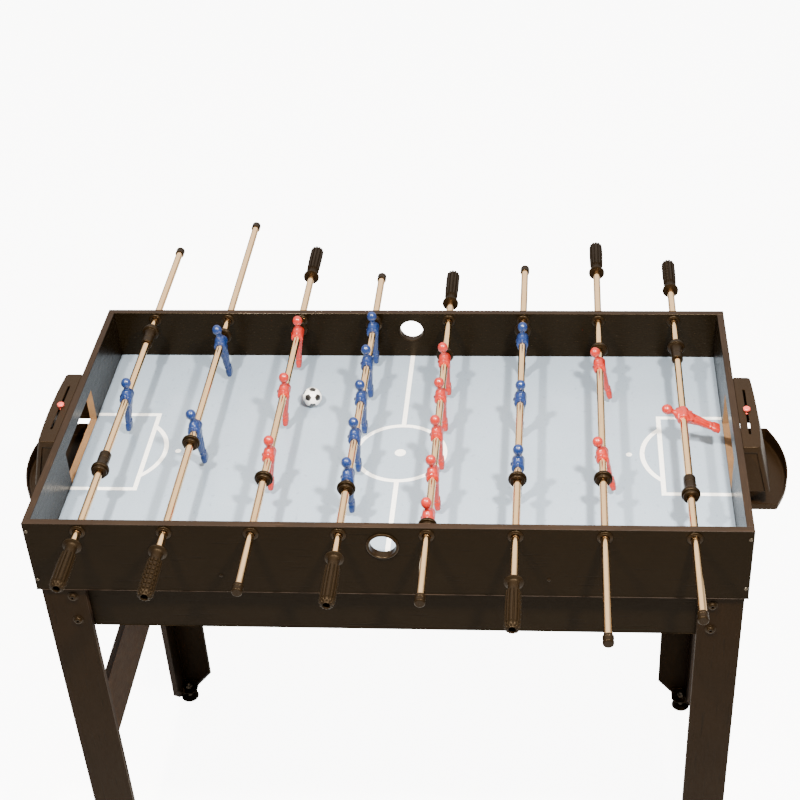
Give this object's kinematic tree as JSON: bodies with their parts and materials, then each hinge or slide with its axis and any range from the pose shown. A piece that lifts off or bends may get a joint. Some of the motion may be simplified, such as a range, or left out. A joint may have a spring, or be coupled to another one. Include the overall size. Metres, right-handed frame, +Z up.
{
  "type": "foosball table",
  "caption": "Free-standing foosball table with turning, sliding player rods, goals with ball trays, score sliders and angle-section legs.",
  "frame": {"origin": "on the floor, under the middle of the whole table's bounding box, rods and handles counted where they rest", "axes": "+X along the table from the left goal to the right goal, +Y along the rods away from the blue side, +Z up"},
  "size_m": [1.3006, 1.171, 1.0137],
  "materials": {
    "black_board": "dark brown-black foil on fibreboard, satin",
    "brown_board": "brown foil on fibreboard, satin",
    "playfield": "printed light blue-grey sheet on fibreboard, semi-gloss",
    "black_plastic": "moulded, fine texture",
    "handle_plastic": "moulded grip",
    "black_rubber": "matt",
    "rod_steel": "bright plated steel",
    "ball_white": "smooth",
    "score_red": "smooth",
    "player_blue": "moulded, satin",
    "player_red": "moulded, satin",
    "screw_steel": "dark plated"
  },
  "bodies": {
    "cabinet": {"playfield": "playfield", "apron_near": "black_board", "apron_far": "black_board", "apron_left": "black_board", "apron_right": "black_board", "side_panel_near": "black_board", "serve_ring_near": "black_plastic", "side_panel_far": "black_board", "serve_ring_far": "black_plastic", "end_panel_left": "black_board", "goal_hood_left": "black_plastic", "ball_tray_left": "black_plastic", "stretcher_left": "brown_board", "leg_left_near": "black_board", "leg_left_far": "black_board", "end_panel_right": "black_board", "goal_hood_right": "black_plastic", "ball_tray_right": "black_plastic", "stretcher_right": "brown_board", "leg_right_near": "black_board", "leg_right_far": "black_board"},
    "slider_1": {"bumper_near_1": "black_rubber", "bumper_far_1": "black_rubber"},
    "rod_1": {"rod_1": "rod_steel", "handle_1": "handle_plastic"},
    "slider_2": {"bumper_near_2": "black_rubber", "bumper_far_2": "black_rubber"},
    "rod_2": {"rod_2": "rod_steel", "handle_2": "handle_plastic"},
    "slider_3": {"bumper_near_3": "black_rubber", "bumper_far_3": "black_rubber"},
    "rod_3": {"rod_3": "rod_steel", "handle_3": "handle_plastic"},
    "slider_4": {"bumper_near_4": "black_rubber", "bumper_far_4": "black_rubber"},
    "rod_4": {"rod_4": "rod_steel", "handle_4": "handle_plastic"},
    "slider_5": {"bumper_near_5": "black_rubber", "bumper_far_5": "black_rubber"},
    "rod_5": {"rod_5": "rod_steel", "handle_5": "handle_plastic"},
    "slider_6": {"bumper_near_6": "black_rubber", "bumper_far_6": "black_rubber"},
    "rod_6": {"rod_6": "rod_steel", "handle_6": "handle_plastic"},
    "slider_7": {"bumper_near_7": "black_rubber", "bumper_far_7": "black_rubber"},
    "rod_7": {"rod_7": "rod_steel", "handle_7": "handle_plastic"},
    "slider_8": {"bumper_near_8": "black_rubber", "bumper_far_8": "black_rubber"},
    "rod_8": {"rod_8": "rod_steel", "handle_8": "handle_plastic"},
    "score_left": {"score_slider_left": "score_red"},
    "score_right": {"score_slider_right": "score_red"},
    "foot_left_near": {"levelling_foot_left_near": "black_rubber"},
    "foot_left_far": {"levelling_foot_left_far": "black_rubber"},
    "foot_right_near": {"levelling_foot_right_near": "black_rubber"},
    "foot_right_far": {"levelling_foot_right_far": "black_rubber"},
    "ball": {"ball": "ball_white"}
  },
  "joints": [
    {"name": "rod_1_slide", "type": "slide", "parent": "cabinet", "child": "slider_1", "axis": [0, 1, 0], "range_m": [-0.129, 0.027]},
    {"name": "rod_1_spin", "type": "hinge", "parent": "slider_1", "child": "rod_1", "pos_m": [-0.4735, -0.0545, 0.975], "axis": [0, 1, 0], "continuous": true},
    {"name": "rod_2_slide", "type": "slide", "parent": "cabinet", "child": "slider_2", "axis": [0, 1, 0], "range_m": [-0.204, 0.0395]},
    {"name": "rod_2_spin", "type": "hinge", "parent": "slider_2", "child": "rod_2", "pos_m": [-0.3385, -0.0545, 0.975], "axis": [0, 1, 0], "continuous": true},
    {"name": "rod_3_slide", "type": "slide", "parent": "cabinet", "child": "slider_3", "axis": [0, 1, 0], "range_m": [-0.1115, 0.0155]},
    {"name": "rod_3_spin", "type": "hinge", "parent": "slider_3", "child": "rod_3", "pos_m": [-0.2035, -0.0545, 0.975], "axis": [0, 1, 0], "continuous": true},
    {"name": "rod_4_slide", "type": "slide", "parent": "cabinet", "child": "slider_4", "axis": [0, 1, 0], "range_m": [-0.0885, 0]},
    {"name": "rod_4_spin", "type": "hinge", "parent": "slider_4", "child": "rod_4", "pos_m": [-0.0685, -0.0545, 0.975], "axis": [0, 1, 0], "continuous": true},
    {"name": "rod_5_slide", "type": "slide", "parent": "cabinet", "child": "slider_5", "axis": [0, 1, 0], "range_m": [0, 0.0985]},
    {"name": "rod_5_spin", "type": "hinge", "parent": "slider_5", "child": "rod_5", "pos_m": [0.0665, -0.0545, 0.975], "axis": [0, 1, 0], "continuous": true},
    {"name": "rod_6_slide", "type": "slide", "parent": "cabinet", "child": "slider_6", "axis": [0, 1, 0], "range_m": [-0.1155, 0.018]},
    {"name": "rod_6_spin", "type": "hinge", "parent": "slider_6", "child": "rod_6", "pos_m": [0.2015, -0.0545, 0.975], "axis": [0, 1, 0], "continuous": true},
    {"name": "rod_7_slide", "type": "slide", "parent": "cabinet", "child": "slider_7", "axis": [0, 1, 0], "range_m": [-0.119, 0.0808]},
    {"name": "rod_7_spin", "type": "hinge", "parent": "slider_7", "child": "rod_7", "pos_m": [0.3365, -0.0545, 0.975], "axis": [0, 1, 0], "continuous": true},
    {"name": "rod_8_slide", "type": "slide", "parent": "cabinet", "child": "slider_8", "axis": [0, 1, 0], "range_m": [-0.0805, 0.07]},
    {"name": "rod_8_spin", "type": "hinge", "parent": "slider_8", "child": "rod_8", "pos_m": [0.4715, -0.0545, 0.975], "axis": [0, 1, 0], "continuous": true},
    {"name": "score_left_slide", "type": "slide", "parent": "cabinet", "child": "score_left", "axis": [0, 1, 0], "range_m": [-0.063, 0.055]},
    {"name": "score_right_slide", "type": "slide", "parent": "cabinet", "child": "score_right", "axis": [0, 1, 0], "range_m": [-0.063, 0.055]},
    {"name": "foot_left_near_turn", "type": "hinge", "parent": "cabinet", "child": "foot_left_near", "pos_m": [-0.534, -0.3325, 0], "axis": [0, 0, 1], "continuous": true},
    {"name": "foot_left_far_turn", "type": "hinge", "parent": "cabinet", "child": "foot_left_far", "pos_m": [-0.534, 0.2235, 0], "axis": [0, 0, 1], "continuous": true},
    {"name": "foot_right_near_turn", "type": "hinge", "parent": "cabinet", "child": "foot_right_near", "pos_m": [0.534, -0.3325, 0], "axis": [0, 0, 1], "continuous": true},
    {"name": "foot_right_far_turn", "type": "hinge", "parent": "cabinet", "child": "foot_right_far", "pos_m": [0.534, 0.2235, 0], "axis": [0, 0, 1], "continuous": true},
    {"name": "ball_roll", "type": "slide", "parent": "cabinet", "child": "ball", "axis": [0, 1, 0], "range_m": [-0.409, 0.137]}
  ]
}
